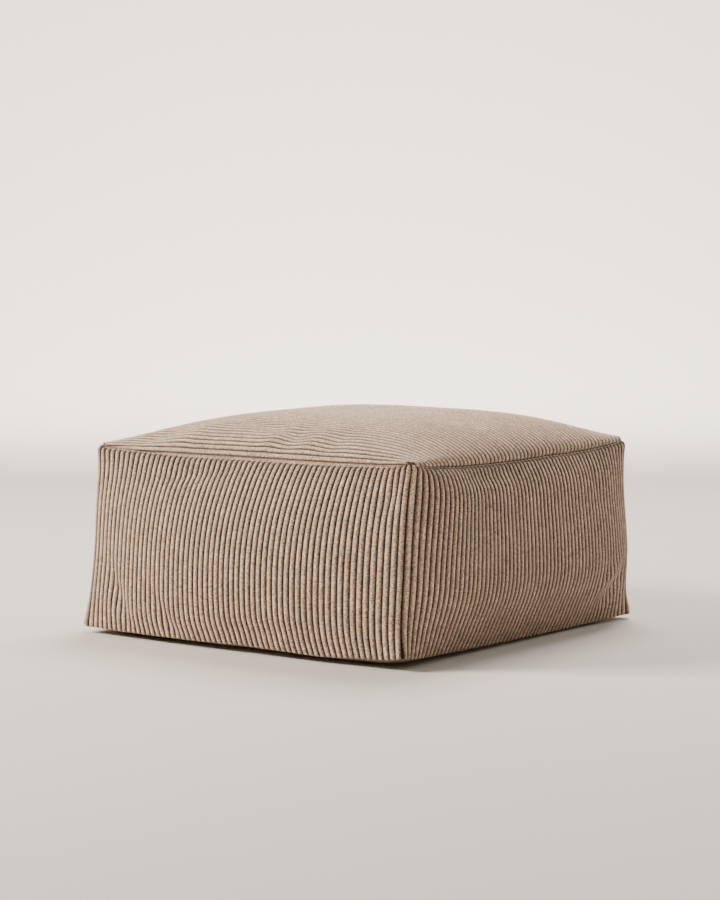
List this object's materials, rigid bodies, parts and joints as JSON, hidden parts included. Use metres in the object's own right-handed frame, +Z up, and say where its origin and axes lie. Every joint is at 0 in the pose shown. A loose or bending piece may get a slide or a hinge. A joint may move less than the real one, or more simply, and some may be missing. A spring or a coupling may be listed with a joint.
{
  "type": "floor pouf",
  "caption": "Square filled floor pouf in wide-wale corduroy with a crowned top, sewn side panels and a plain base panel.",
  "frame": {"origin": "on the floor under the middle of the pouf's outline", "axes": "+Z up, the near side faces -Y and the right side faces +X"},
  "size_m": [0.6635, 0.6804, 0.3399],
  "materials": {
    "wale_cloth": "greige wide-wale corduroy with a soft brushed nap",
    "base_cloth": "plain brown woven cloth, matt"
  },
  "bodies": {
    "root": {"filled_body": "wale_cloth", "top_panel": "wale_cloth", "base_panel": "base_cloth"}
  },
  "joints": []
}
